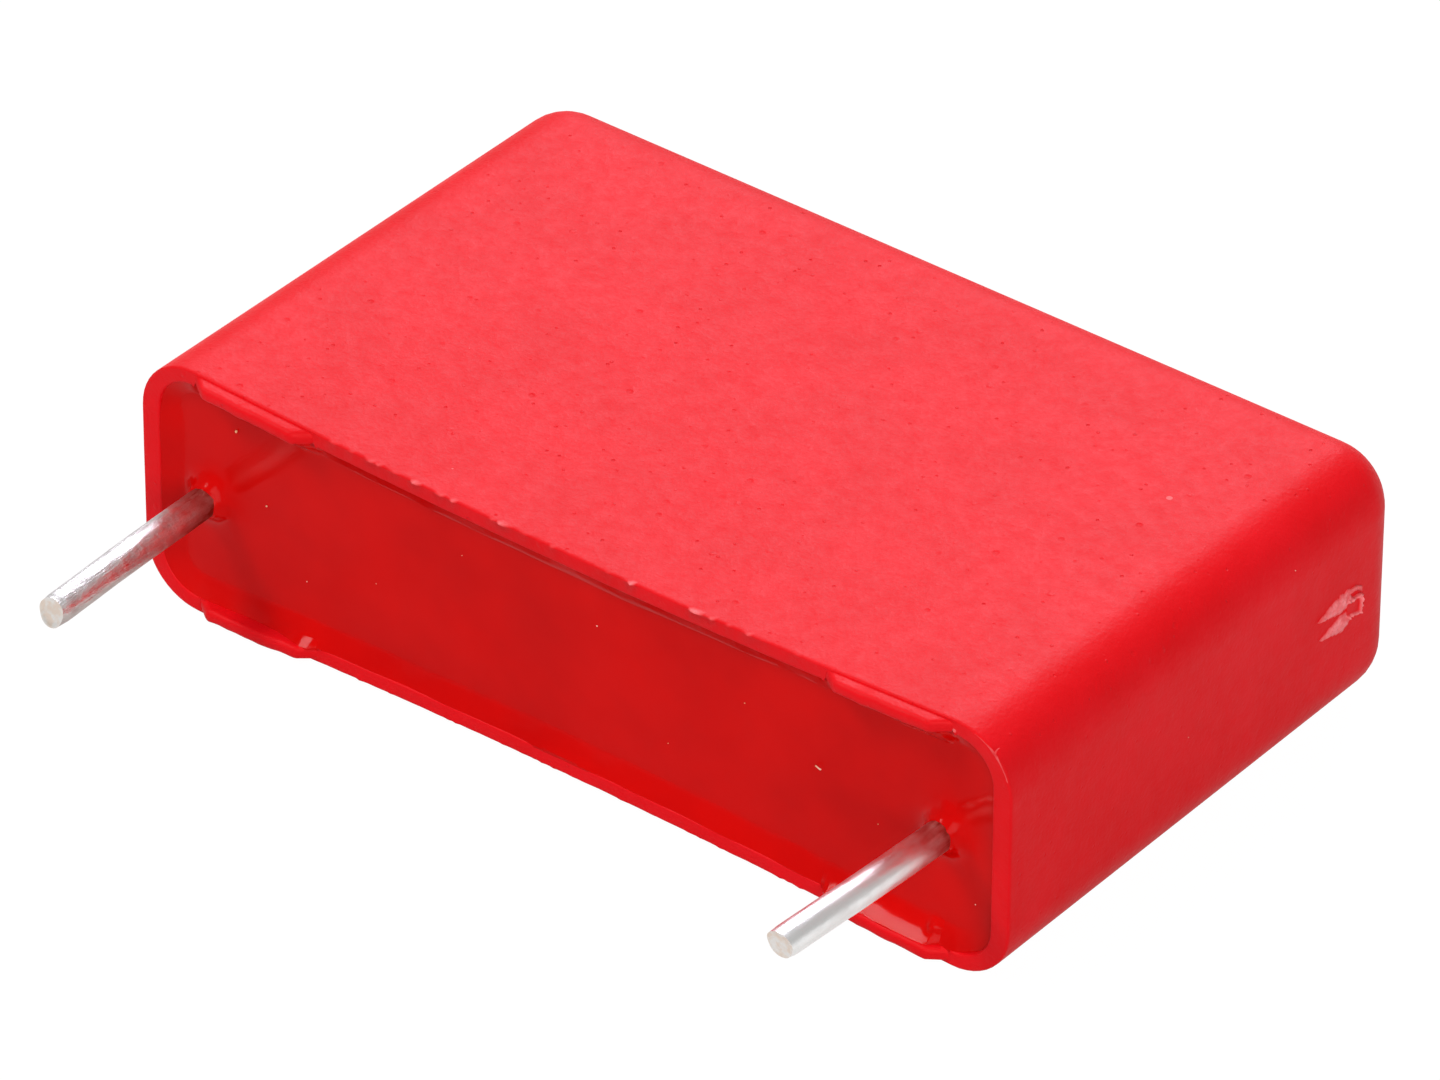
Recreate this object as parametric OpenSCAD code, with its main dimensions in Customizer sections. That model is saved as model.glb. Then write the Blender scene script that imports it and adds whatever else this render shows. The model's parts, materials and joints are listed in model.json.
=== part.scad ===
// Box film capacitor: a moulded case filled with resin, holding a flat-pressed film roll with a
// sprayed metal contact and a welded wire lead at each end.
// It is described standing on its feet, leads down, and laid on a large face at the end of the file.
// Standing axes: X along the case, Y across its thickness, Z = 0 at the open rim and up into the case.

/* [Case] */
// Length over the end walls at the open rim
case_len = 26.5; // [25:0.5:42]
// Thickness over the large walls at the open rim
case_thick = 7.1; // [6:0.1:14]
// Height from the open rim to the closed end
case_h = 15.8; // [11:0.1:40]
// Radius of the four upright corners
corner_r = 1.65; // [1.4:0.05:2.4]
// Radius round the edge of the closed end
edge_r = 1.25; // [0.8:0.05:1.5]
// Mould draft of the four walls, in degrees
draft = 0.27; // [0.1:0.01:0.5]
// Thickness of the two end walls
end_wall = 0.55; // [0.4:0.05:0.8]
// Thickness of the two large walls
side_wall = 0.42; // [0.3:0.02:0.8]
// Thickness of the closed end
closed_wall = 0.8; // [0.5:0.05:1.5]
// How far the cured resin has drawn each large wall in, at the middle of the rim
wall_sink = 0.3; // [0.1:0.05:0.5]

/* [Feet] */
// Height of the standoff feet below the rim
foot_h = 0.35; // [0.2:0.05:1]
// Length of each foot at the rim
foot_len = 3.7; // [2:0.1:6]
// Run of the sloped ends of a foot
foot_slope = 0.45; // [0.2:0.05:1]
// Step from the outside of the case in to the outside of a foot
foot_step = 0.06; // [0.03:0.01:0.15]

/* [Leads] */
// Distance between the two leads
lead_pitch = 22.5; // [12:0.5:24]
// Diameter of the wire
lead_d = 0.8; // [0.6:0.05:1]
// Length of the left lead below the feet
left_out = 5.4; // [3:0.1:25]
// Length of the right lead below the feet
right_out = 5.8; // [3:0.1:25]
// Lean of the left lead towards the upper face, in degrees (0 is factory straight)
left_lean = -1.9; // [-5:0.1:5]
// Lean of the right lead towards the upper face, in degrees (0 is factory straight)
right_lean = 3.4; // [-5:0.1:5]

/* [Resin] */
// Depth of the resin's surface inside the rim
resin_drop = 0.3; // [0.1:0.05:1.2]
// How far the resin climbs each lead
creep_h = 0.25; // [0.1:0.05:0.6]
// How far the resin's climb reaches out from each lead
creep_w = 0.3; // [0.1:0.05:0.6]

/* [Film roll] */
// Resin over the roll on the open side
roll_cover = 2.1; // [1:0.1:4]
// Resin between the roll and the case walls
roll_gap = 0.3; // [0.15:0.05:1]
// Thickness of the sprayed metal on each end of the roll
contact_t = 0.4; // [0.2:0.05:0.8]
// Thickness of the wire where it is pressed flat inside the resin
tail_t = 0.48; // [0.3:0.02:0.6]
// Width of the wire where it is pressed flat inside the resin
tail_w = 1.2; // [0.8:0.05:1.6]
// Share of the contact's height that the wire is welded along
weld_share = 0.7; // [0.3:0.05:0.9]

/* [Gate stub] */
// Width of the torn-off moulding gate on the right end wall
gate_w = 0.6; // [0.3:0.05:1.2]
// How far the stub stands out of the wall
gate_out = 0.18; // [0.05:0.01:0.4]
// Distance from the closed end to the middle of the gate
gate_drop = 2.1; // [1.9:0.1:6]

/* [Hidden] */
$fn = 96;
cut = 0.5;             // how far a cutter runs past what it cuts
below = 1;             // how far a wall is drawn on below the rim, to be trimmed there
sink_margin = 0.25;    // flat wall left between a sink and the upright corners
sink_stop = 0.6;       // flat wall left between a sink and the closed end's rounding
sink_fn = 720;         // facets of the very large cylinder that makes a sink
foot_margin = 0.1;     // rim left between a foot and the upright corner
foot_root = 0.3;       // how far a foot runs up into the wall it stands on
creep_edge = 0.02;     // thickness of the climbed resin at its upper end
creep_root = 0.1;      // how far the climbed resin is carried down into the fill
round_stop = 0.06;     // distance outside the resin's level at which the wire turns flat

cavity_len = case_len - 2 * end_wall;
cavity_thick = case_thick - 2 * side_wall;
cavity_h = case_h - closed_wall;
cavity_corner_r = corner_r - end_wall;
cavity_edge_r = 0.42 * edge_r;

flat_half = case_len / 2 - corner_r;         // half the flat stretch of a large wall
sink_half = flat_half - sink_margin;
sink_reach = case_h - edge_r - sink_stop;    // height at which a sink has faded out
sink_r = (pow(sink_half, 2) + pow(wall_sink, 2)) / (2 * wall_sink);
foot_far = flat_half - foot_margin;

roll_z = resin_drop + roll_cover;
roll_h = cavity_h - roll_gap - roll_z;
roll_thick = cavity_thick - 2 * (wall_sink + roll_gap);
contact_face = lead_pitch / 2 - tail_t / 2;
roll_end = contact_face - contact_t;

lead_r = lead_d / 2;
round_in = resin_drop - round_stop;
weld_len = weld_share * roll_h;
gate_z = case_h - gate_drop;
total_len = case_h + foot_h + max(left_out, right_out);

case_color = "#d5202b";
resin_color = "#b8141b";
film_color = "#c9cdd0";
spray_color = "#8f9496";
wire_color = "#c8c9c6";

function micron(v) = round(v * 1000) / 1000;

// One wall seen from its end: reach is how far it stands from the axis at the rim. It leans in by
// the draft, in whole microns so that neighbours meet exactly, and turns over the closed end in an arc.
module wall_outline(reach, top, edge) {
    arc_y = top - edge;
    foot_x = reach + micron(below * tan(draft));
    arc_x = reach - micron(arc_y * tan(draft)) - edge;
    polygon([
        [0, -below], [foot_x, -below], [arc_x + edge, arc_y], [arc_x, arc_y], [arc_x, top], [0, top],
    ]);
    translate([arc_x, arc_y])
        intersection() {
            circle(r = edge);
            square(edge);
        }
}

module both_ways() {
    children();
    mirror([1, 0]) children();
}

// Large shallow cylinder that hollows one long wall: deepest at the rim, faded out at sink_reach.
module sink(thick) {
    tilt = atan(wall_sink / sink_reach - tan(draft));
    translate([0, thick / 2 - wall_sink, 0])
        rotate([-tilt, 0, 0])
            translate([0, sink_r, -below - cut])
                cylinder(r = sink_r, h = case_h + below + cut, $fn = sink_fn);
}

// Drafted box with round corners and a round closed end, its two large walls sunk in.
module box(len, thick, top, corner, edge) {
    difference() {
        union() {
            rotate([90, 0, 90])
                linear_extrude(len - 2 * corner, center = true)
                    both_ways() wall_outline(thick / 2, top, edge);
            rotate([90, 0, 0])
                linear_extrude(thick - 2 * corner, center = true)
                    both_ways() wall_outline(len / 2, top, edge);
            for (turn = [0:3])
                translate([
                    (turn % 3 == 0 ? 1 : -1) * (len / 2 - corner),
                    (turn < 2 ? 1 : -1) * (thick / 2 - corner),
                    0,
                ])
                    rotate(90 * turn)
                        rotate_extrude(angle = 90)
                            wall_outline(corner, top, edge);
        }
        sink(thick);
        mirror([0, 1, 0]) sink(thick);
    }
}

// Everything below a level, for trimming.
module under(level) {
    reach = case_len + case_thick;
    translate([-reach, -reach, level - reach]) cube([2 * reach, 2 * reach, reach]);
}

module cavity() {
    box(cavity_len, cavity_thick, cavity_h, cavity_corner_r, cavity_edge_r);
}

// A foot seen across the large walls: level below, its two ends sloped.
module foot_outline() {
    near = foot_far - foot_len;
    polygon([
        [near, foot_root], [near, 0], [near + foot_slope, -foot_h],
        [foot_far - foot_slope, -foot_h], [foot_far, 0], [foot_far, foot_root],
    ]);
}

// Four feet that carry the large walls on past the rim, each a little inside the case's outer face.
module feet() {
    intersection() {
        box(case_len - 2 * foot_step, case_thick - 2 * foot_step, case_h,
            corner_r - foot_step, edge_r - foot_step);
        rotate([90, 0, 0])
            linear_extrude(case_thick, center = true)
                both_ways() foot_outline();
    }
}

// Square stub where the moulding gate was torn off.
module gate_stub() {
    wall_x = case_len / 2 - gate_z * tan(draft);
    translate([wall_x - end_wall / 2, -gate_w / 2, gate_z - gate_w / 2])
        cube([end_wall / 2 + gate_out, gate_w, gate_w]);
}

// Flat-pressed roll section, extruded between two places along the case.
module roll(from_x, to_x) {
    end_r = roll_thick / 2;
    translate([from_x, 0, roll_z + roll_h / 2])
        rotate([90, 0, 90])
            linear_extrude(to_x - from_x) {
                square([roll_thick, roll_h - 2 * end_r], center = true);
                for (end = [-1, 1])
                    translate([0, end * (roll_h / 2 - end_r)]) circle(r = end_r);
            }
}

// Places things on the axis of a lead, measured from the point where it reaches the contact.
module on_wire_axis(lean) {
    translate([lead_pitch / 2, 0, roll_z]) rotate([-lean, 0, 0]) children();
}

// The wire pressed flat, with round edges.
module tail_outline() {
    flat_w = tail_w - tail_t;
    square([tail_t, flat_w], center = true);
    for (side = [-1, 1])
        translate([0, side * flat_w / 2]) circle(r = tail_t / 2);
}

// One wire on the +X side: straight and round outside, pressed flat from the resin's surface on, and
// welded along the end contact. It leans within the contact's plane.
module wire(out, lean) {
    on_wire_axis(lean) {
        translate([0, 0, -roll_z - foot_h - out])
            cylinder(r = lead_r, h = out + foot_h + round_in);
        translate([0, 0, round_in - roll_z])
            linear_extrude(roll_z - round_in + weld_len)
                tail_outline();
    }
}

// Resin that has climbed a lead, rooted in the fill.
module creep(lean) {
    on_wire_axis(lean)
        translate([0, 0, resin_drop - creep_h - roll_z])
            cylinder(r1 = lead_r + creep_edge, r2 = lead_r + creep_w, h = creep_h + creep_root);
}

// Lays the standing part on a large face, with its leads to the front and its middle over the origin.
module lay_down() {
    translate([0, total_len / 2 - case_h, case_thick / 2])
        rotate([-90, 0, 0])
            children();
}

module case() {
    color(case_color)
        lay_down()
            difference() {
                union() {
                    difference() {
                        box(case_len, case_thick, case_h, corner_r, edge_r);
                        under(0);
                    }
                    feet();
                    gate_stub();
                }
                cavity();
            }
}

module potting() {
    color(resin_color)
        lay_down()
            difference() {
                union() {
                    difference() {
                        cavity();
                        under(resin_drop);
                    }
                    creep(right_lean);
                    mirror([1, 0, 0]) creep(left_lean);
                }
                roll(-contact_face, contact_face);
                wire(right_out, right_lean);
                mirror([1, 0, 0]) wire(left_out, left_lean);
            }
}

module winding() {
    color(film_color) lay_down() roll(-roll_end, roll_end);
}

module end_contact_left() {
    color(spray_color) lay_down() roll(-contact_face, -roll_end);
}

module end_contact_right() {
    color(spray_color) lay_down() roll(roll_end, contact_face);
}

module lead_left() {
    color(wire_color) lay_down() mirror([1, 0, 0]) wire(left_out, left_lean);
}

module lead_right() {
    color(wire_color) lay_down() wire(right_out, right_lean);
}

case();
potting();
winding();
end_contact_left();
end_contact_right();
lead_left();
lead_right();
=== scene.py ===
import json
import math

import bmesh
import bpy
from mathutils import Matrix, Vector, noise


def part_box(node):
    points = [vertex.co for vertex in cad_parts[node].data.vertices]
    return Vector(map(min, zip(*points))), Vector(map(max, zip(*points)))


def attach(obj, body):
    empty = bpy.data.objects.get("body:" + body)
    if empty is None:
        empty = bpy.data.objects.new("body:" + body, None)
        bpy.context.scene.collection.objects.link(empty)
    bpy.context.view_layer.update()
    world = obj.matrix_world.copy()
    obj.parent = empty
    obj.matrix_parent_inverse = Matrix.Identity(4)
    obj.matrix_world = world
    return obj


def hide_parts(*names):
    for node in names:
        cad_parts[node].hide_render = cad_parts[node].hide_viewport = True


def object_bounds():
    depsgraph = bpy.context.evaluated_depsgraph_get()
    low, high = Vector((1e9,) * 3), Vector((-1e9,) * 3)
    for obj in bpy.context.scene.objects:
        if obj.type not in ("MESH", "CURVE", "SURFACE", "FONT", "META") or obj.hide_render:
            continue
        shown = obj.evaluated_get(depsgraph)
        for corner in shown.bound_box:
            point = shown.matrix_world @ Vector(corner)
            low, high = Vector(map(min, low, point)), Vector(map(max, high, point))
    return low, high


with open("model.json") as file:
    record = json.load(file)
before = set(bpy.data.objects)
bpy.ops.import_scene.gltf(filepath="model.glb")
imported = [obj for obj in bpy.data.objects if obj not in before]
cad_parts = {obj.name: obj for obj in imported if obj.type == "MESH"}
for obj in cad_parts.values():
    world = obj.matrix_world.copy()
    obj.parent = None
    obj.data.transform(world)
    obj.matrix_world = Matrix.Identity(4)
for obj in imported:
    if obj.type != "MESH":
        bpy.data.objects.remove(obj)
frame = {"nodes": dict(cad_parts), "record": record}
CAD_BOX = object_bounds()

MM = 0.001

# Sizes of the moulded case, as in the part's source.
CASE_LOW, CASE_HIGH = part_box("case")
HALF_LEN = -CASE_LOW.x
HALF_THICK = (CASE_HIGH.z - CASE_LOW.z) / 2
MID_Z = (CASE_HIGH.z + CASE_LOW.z) / 2
FOOT_H = 0.35 * MM
RIM_Y = CASE_LOW.y + FOOT_H
CASE_H = CASE_HIGH.y - RIM_Y
CORNER_R = 1.65 * MM
EDGE_R = 1.25 * MM
DRAFT = math.tan(math.radians(0.27))
END_WALL, SIDE_WALL, CLOSED_WALL = 0.55 * MM, 0.42 * MM, 0.8 * MM
INNER_CORNER_R = CORNER_R - END_WALL
INNER_EDGE_R = 0.42 * EDGE_R
WALL_SINK = 0.3 * MM
FLAT_HALF = HALF_LEN - CORNER_R
SINK_HALF = FLAT_HALF - 0.25 * MM
SINK_REACH = CASE_H - EDGE_R - 0.6 * MM
SINK_R = (SINK_HALF ** 2 + WALL_SINK ** 2) / (2 * WALL_SINK)
FOOT_NEAR, FOOT_FAR = 7.8 * MM, 11.5 * MM
FOOT_SLOPE, FOOT_STEP = 0.45 * MM, 0.06 * MM
# Rounding of the rim's edges: size and number of steps.
FOOT_ROUNDING = (0.13 * MM, 5)
RIM_ROUNDING = (0.056 * MM, 3)
RESIN_Y = RIM_Y + 0.3 * MM
# Middle of the gate, and the tongues torn from it: start, end, width and thickness in millimetres.
GATE_AT = (8.93, 3.5)
GATE_TONGUES = (
    (Vector((8.6, 3.84)), Vector((7.44, 3.8)), 0.7, 0.07),
    (Vector((8.6, 3.24)), Vector((7.52, 3.22)), 0.62, 0.06),
)
# Crumbs of dust: place and size in millimetres.
DUST = (
    (-10.43, -4.6, 5.72, 0.035), (-9.52, -4.59, 3.91, 0.022), (0.74, -4.57, 4.86, 0.02),
    (-6.1, -4.57, 3.1, 0.012), (2.9, -4.57, 2.4, 0.012), (5.2, -4.57, 4.6, 0.014), (-3.4, -4.57, 5.1, 0.012),
    (9.2, -4.58, 2.9, 0.013), (-8.3, -4.57, 2.2, 0.013), (12.1, -4.6, 1.9, 0.014), (5.41, -0.36, 6.87, 0.012),
    (-1.34, 7.83, 6.97, 0.012), (13.21, 6.4, 5.91, 0.014), (13.23, 2.2, 3.4, 0.012),
)
# Small lumps left in the resin: x, z, height and size in millimetres.
RESIN_LUMPS = (
    (10.95, 0.82, 0.14, 0.15), (12.2, 4.7, 0.03, 0.35),
    (-11.1, 3.95, 0.1, 0.15), (-10.8, 3.2, 0.08, 0.14), (11.3, 4.35, 0.09, 0.17),
)
# Brightness of the white surroundings as they light the part.
WORLD_LEVEL = 0.28


# ---------------------------------------------------------------- small tools

def finish_piece(name, bm, material, body="root"):
    """Turns a bmesh into a named piece that rides on a body."""
    bmesh.ops.recalc_face_normals(bm, faces=bm.faces)
    mesh = bpy.data.meshes.new(name)
    bm.to_mesh(mesh)
    bm.free()
    piece = bpy.data.objects.new(name, mesh)
    bpy.context.scene.collection.objects.link(piece)
    mesh.materials.append(material)
    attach(piece, body)
    return piece


def strain_layer(bm):
    """Where the plastic has been torn or drawn thin, and has turned pale."""
    return bm.verts.layers.float.get("strain") or bm.verts.layers.float.new("strain")


def smooth_shade(bm, sharp_above=35):
    """Smooth faces, with the edges that turn further than this left sharp."""
    limit = math.radians(sharp_above)
    for face in bm.faces:
        face.smooth = True
    for edge in bm.edges:
        edge.smooth = not (edge.is_manifold and edge.calc_face_angle() > limit)


def smoothstep(low, high, value):
    t = min(1.0, max(0.0, (value - low) / (high - low)))
    return t * t * (3 - 2 * t)


def drift(x, y, z, size):
    """Slow random drift, from -1 to 1, with bumps of this size."""
    return noise.noise(Vector((x, y, z)) / size)


def spread(low, high, step):
    """Even stops from low to high, both included, about a step apart."""
    count = max(1, round((high - low) / step))
    return [low + (high - low) * i / count for i in range(count + 1)]


def cut_at(bm, axis, stops):
    """Cuts every face with planes across one axis."""
    normal = Vector((0, 0, 0))
    normal[axis] = 1
    for stop in stops:
        bmesh.ops.bisect_plane(
            bm, geom=bm.verts[:] + bm.edges[:] + bm.faces[:],
            dist=1e-8, plane_co=normal * stop, plane_no=normal,
        )


# ---------------------------------------------------------------- shape of the case walls

def outward(place):
    """Direction square to the rounded outline of the case at a place."""
    past_x = abs(place.x) - FLAT_HALF
    past_z = abs(place.z - MID_Z) - (HALF_THICK - CORNER_R)
    if past_x <= 1e-7 and past_z <= 1e-7:
        return Vector((0, 0, 0))
    away = Vector((max(0, past_x), 0, max(0, past_z))).normalized()
    away.x *= math.copysign(1, place.x)
    away.z *= math.copysign(1, place.z - MID_Z)
    return away


def sink_at(x, height):
    """How far the cured resin has drawn a large wall in."""
    deep = WALL_SINK * (1 - max(0, height) / SINK_REACH) - x * x / (2 * SINK_R)
    ease = 0.012 * MM
    return (deep + math.sqrt(deep * deep + ease * ease)) / 2


def column_stops():
    """Cuts along the case: fine where the rim carries flash, and at the ends of the feet."""
    slope_near, slope_far = FOOT_NEAR + FOOT_SLOPE + 0.2 * MM, FOOT_FAR - FOOT_SLOPE - 0.2 * MM
    half = spread(0.06 * MM, FOOT_NEAR - 0.12 * MM, 0.12 * MM)
    half += [FOOT_NEAR] + spread(slope_near, slope_far, 0.14 * MM) + [FOOT_FAR]
    return [-x for x in half] + half


def outer_skin():
    """The outside of the case, open at the rim: a box with round upright corners and a round closed end."""
    bm = bmesh.new()
    bmesh.ops.create_cube(bm, size=1)
    bmesh.ops.scale(bm, vec=(2 * HALF_LEN, CASE_H, 2 * HALF_THICK), verts=bm.verts)
    bmesh.ops.translate(bm, vec=(0, RIM_Y + CASE_H / 2, MID_Z), verts=bm.verts)
    bm.normal_update()
    bmesh.ops.delete(bm, geom=[f for f in bm.faces if f.normal.y < -0.9], context="FACES_ONLY")
    upright = [e for e in bm.edges if abs(e.verts[0].co.y - e.verts[1].co.y) > CASE_H / 2]
    bmesh.ops.bevel(
        bm, geom=upright, offset=CORNER_R, offset_type="OFFSET", segments=12,
        profile=0.5, affect="EDGES", material=-1, clamp_overlap=False,
    )
    closed = [e for e in bm.edges if all(v.co.y > CASE_HIGH.y - 1e-6 for v in e.verts)]
    bmesh.ops.bevel(
        bm, geom=closed, offset=EDGE_R, offset_type="OFFSET", segments=10,
        profile=0.5, affect="EDGES", material=-1, clamp_overlap=False,
    )
    cut_at(bm, 0, column_stops())
    cut_at(bm, 1, [RIM_Y + h * MM for h in (0.12, 0.4, 1.5, 3.5, 6, 8.5, 11, 13, 13.6)])
    cut_at(bm, 2, [MID_Z + z * MM for z in (-1.8, -0.6, 0.6, 1.8)])
    for v in bm.verts:
        height = v.co.y - RIM_Y
        away = outward(v.co)
        v.co -= away * DRAFT * min(height, CASE_H - EDGE_R)
        if abs(away.z) > 0.9:
            v.co.z -= math.copysign(sink_at(v.co.x, height) * abs(away.z), away.z)
    return bm


def inner_place(rim_place, height, inset=0.0):
    """Where the cavity wall stands behind a place of the outer rim, at a height above the rim."""
    away = outward(rim_place)
    lean = DRAFT * min(height, CASE_H - CLOSED_WALL - INNER_EDGE_R)
    reach = INNER_CORNER_R - lean - inset
    if abs(away.x) < 1e-6:
        middle = Vector((rim_place.x, 0, MID_Z))
        reach = HALF_THICK - SIDE_WALL - lean - inset - sink_at(rim_place.x, height)
    elif abs(away.z) < 1e-6:
        middle = Vector((math.copysign(FLAT_HALF, away.x), 0, rim_place.z))
    else:
        middle = Vector((
            math.copysign(FLAT_HALF, away.x), 0,
            MID_Z + math.copysign(HALF_THICK - SIDE_WALL - INNER_CORNER_R, away.z),
        ))
    place = middle + away * reach
    place.y = RIM_Y + height
    return place


def grow(bm, edges):
    """Draws a row of faces out of a loop of edges, and gives the new edges and corners."""
    grown = bmesh.ops.extrude_edge_only(bm, edges=edges)["geom"]
    corners = [g for g in grown if isinstance(g, bmesh.types.BMVert)]
    new = [g for g in grown if isinstance(g, bmesh.types.BMEdge) and len(g.link_faces) == 1]
    return new, corners


def make_case(material):
    bm = outer_skin()
    rim = [e for e in bm.edges if e.is_boundary]
    rim, corners = grow(bm, rim)
    on_rim = {v: v.co.copy() for v in corners}
    for v in corners:
        v.co -= outward(v.co) * FOOT_STEP
    levels = [(h * MM, 0.0) for h in (0, 0.15, 0.3, 0.6, 1.5, 3.5, 6, 8.5, 11)]
    turn_at = CASE_H - CLOSED_WALL - INNER_EDGE_R
    for step in range(7):
        angle = math.radians(15 * step)
        levels.append((turn_at + INNER_EDGE_R * math.sin(angle), INNER_EDGE_R * (1 - math.cos(angle))))
    for height, inset in levels:
        rim, corners = grow(bm, rim)
        places = {}
        for v in corners:
            twin = next(e.other_vert(v) for e in v.link_edges if e.other_vert(v) in on_rim)
            places[v] = on_rim[twin]
            v.co = inner_place(places[v], height, inset)
        on_rim = places
    bmesh.ops.contextual_create(bm, geom=rim)
    bmesh.ops.recalc_face_normals(bm, faces=bm.faces)
    raise_feet(bm)
    round_rim(bm)
    fray_rim(bm)
    smooth_shade(bm)
    case = finish_piece("moulded_case", bm, material)
    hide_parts("case")
    return case


def raise_feet(bm):
    """Four standoff feet drawn up from the rim, with sloped ends."""
    stand = []
    for f in bm.faces:
        middle = f.calc_center_median()
        level = all(abs(v.co.y - RIM_Y) < 1e-7 for v in f.verts)
        wide = max(abs(v.co.z - middle.z) for v in f.verts) > 0.1 * MM
        if level and wide and FOOT_NEAR < abs(middle.x) < FOOT_FAR and abs(middle.z - MID_Z) > 2 * MM:
            stand.append(f)
    raised = bmesh.ops.extrude_face_region(bm, geom=stand)["geom"]
    bmesh.ops.delete(bm, geom=[f for f in stand if f.is_valid], context="FACES")
    for v in (g for g in raised if isinstance(g, bmesh.types.BMVert)):
        v.co.y -= FOOT_H
        side = math.copysign(1, v.co.x)
        if abs(abs(v.co.x) - FOOT_NEAR) < 1e-6:
            v.co.x += side * FOOT_SLOPE
        elif abs(abs(v.co.x) - FOOT_FAR) < 1e-6:
            v.co.x -= side * FOOT_SLOPE


def round_rim(bm):
    """Breaks the sharp edges of the rim, and rounds those of the feet more, as moulding does."""
    limit = math.radians(25)
    bm.normal_update()
    edges = [
        e for e in bm.edges
        if all(v.co.y < RIM_Y + 0.02 * MM for v in e.verts)
        and e.is_manifold and e.calc_face_angle_signed() > limit
    ]
    on_foot = [e for e in edges if min(v.co.y for v in e.verts) < RIM_Y - 0.1 * MM]
    plain = [e for e in edges if e not in on_foot]
    for chosen, (size, steps) in ((on_foot, FOOT_ROUNDING), (plain, RIM_ROUNDING)):
        bmesh.ops.bevel(
            bm, geom=[e for e in chosen if e.is_valid], offset=size, offset_type="OFFSET",
            segments=steps, profile=0.5, affect="EDGES", material=-1, clamp_overlap=False,
        )


def fray_rim(bm):
    """Thin ragged flash along the outer edge of the rim, most of it on the upper wall, and lumpy feet."""
    strain = strain_layer(bm)
    for v in bm.verts:
        height = v.co.y - RIM_Y
        if height > 0.1 * MM:
            continue
        away = outward(v.co)
        across = abs(v.co.z - MID_Z)
        inside = HALF_THICK - sink_at(v.co.x, 0) - across if abs(away.z) > 0.9 else 1
        near_edge = 1 - smoothstep(0.015 * MM, 0.09 * MM, inside)
        stretch = 1 - smoothstep(7.1 * MM, 7.6 * MM, abs(v.co.x))
        side = v.co.z > MID_Z
        ragged = max(0, drift(v.co.x, 3 + side, 0, 0.3 * MM) - 0.1)
        ragged += 0.5 * max(0, drift(v.co.x, 9 + side, 0, 0.9 * MM))
        ragged += 2 * max(0, drift(v.co.x, 6 + side, 0, 0.17 * MM) - 0.42)
        fin = (0.15 if side else 0.07) * ragged * near_edge * stretch
        v[strain] = 0.8 * min(1, fin / 0.1) ** 3
        v.co.y -= fin * MM
        if height < -0.02 * MM:
            lumpy = smoothstep(0.02 * MM, 0.3 * MM, -height) * MM
            wave = 0.03 * drift(v.co.x, 3, side, 0.8 * MM) + 0.012 * drift(v.co.x, v.co.z, 1, 0.3 * MM)
            v.co.y += lumpy * wave
            wave = 0.045 * drift(v.co.x, 8, side, 0.7 * MM) + 0.015 * drift(v.co.x, v.co.y, 8, 0.3 * MM)
            v.co.z += lumpy * wave
        v.co.y += 0.006 * MM * drift(v.co.x, v.co.y, v.co.z, 0.5 * MM)
        v.co.z += 0.006 * MM * drift(v.co.z, v.co.x, v.co.y, 0.4 * MM)


# ---------------------------------------------------------------- resin surface

def wall_gap(x, z):
    """Distance from a place in the opening to the nearest inner wall."""
    corner = CORNER_R - END_WALL
    across = abs(z - MID_Z) + sink_at(x, RESIN_Y - RIM_Y)
    past_x = abs(x) - FLAT_HALF
    past_z = across - (HALF_THICK - SIDE_WALL - corner)
    outside = math.hypot(max(0, past_x), max(0, past_z)) + min(0, max(past_x, past_z))
    return corner - outside


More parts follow.
